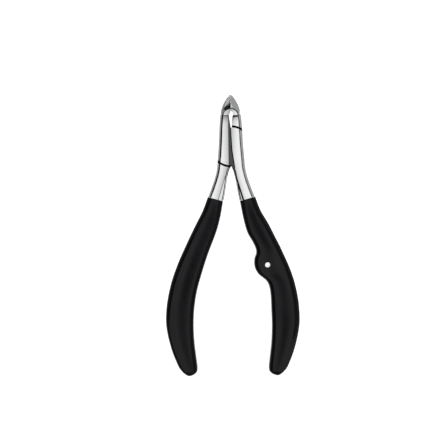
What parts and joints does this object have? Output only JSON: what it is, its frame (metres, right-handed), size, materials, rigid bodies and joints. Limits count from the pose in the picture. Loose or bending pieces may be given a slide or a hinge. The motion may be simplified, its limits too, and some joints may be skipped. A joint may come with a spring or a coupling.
{
  "type": "cuticle nipper",
  "caption": "Hand nipper for cuticles: two crossed polished levers on a pivot screw, short pointed jaws and curved black grips.",
  "frame": {"origin": "on the pivot axis, at the flat back face of the joint", "axes": "the tool lies flat: +Y towards the jaw tips, +X towards the right-hand grip, +Z out of the front face along the pivot"},
  "size_m": [0.0568, 0.1197, 0.01],
  "materials": {
    "polished_steel": "mirror-polished stainless steel, satin ground jaws",
    "screw_steel": "turned stainless steel",
    "washer_bronze": "plain bronze",
    "grip": "soft-touch black moulding"
  },
  "bodies": {
    "back_half": {"back_lever": "polished_steel", "friction_washer": "washer_bronze", "left_grip": "grip"},
    "front_half": {"front_lever": "polished_steel", "pivot_screw": "screw_steel", "right_grip": "grip"}
  },
  "joints": [
    {"name": "jaw_pivot", "type": "hinge", "parent": "back_half", "child": "front_half", "pos_m": [0, 0, 0.0035], "axis": [0, 0, 1], "range_deg": [0, 16]}
  ]
}
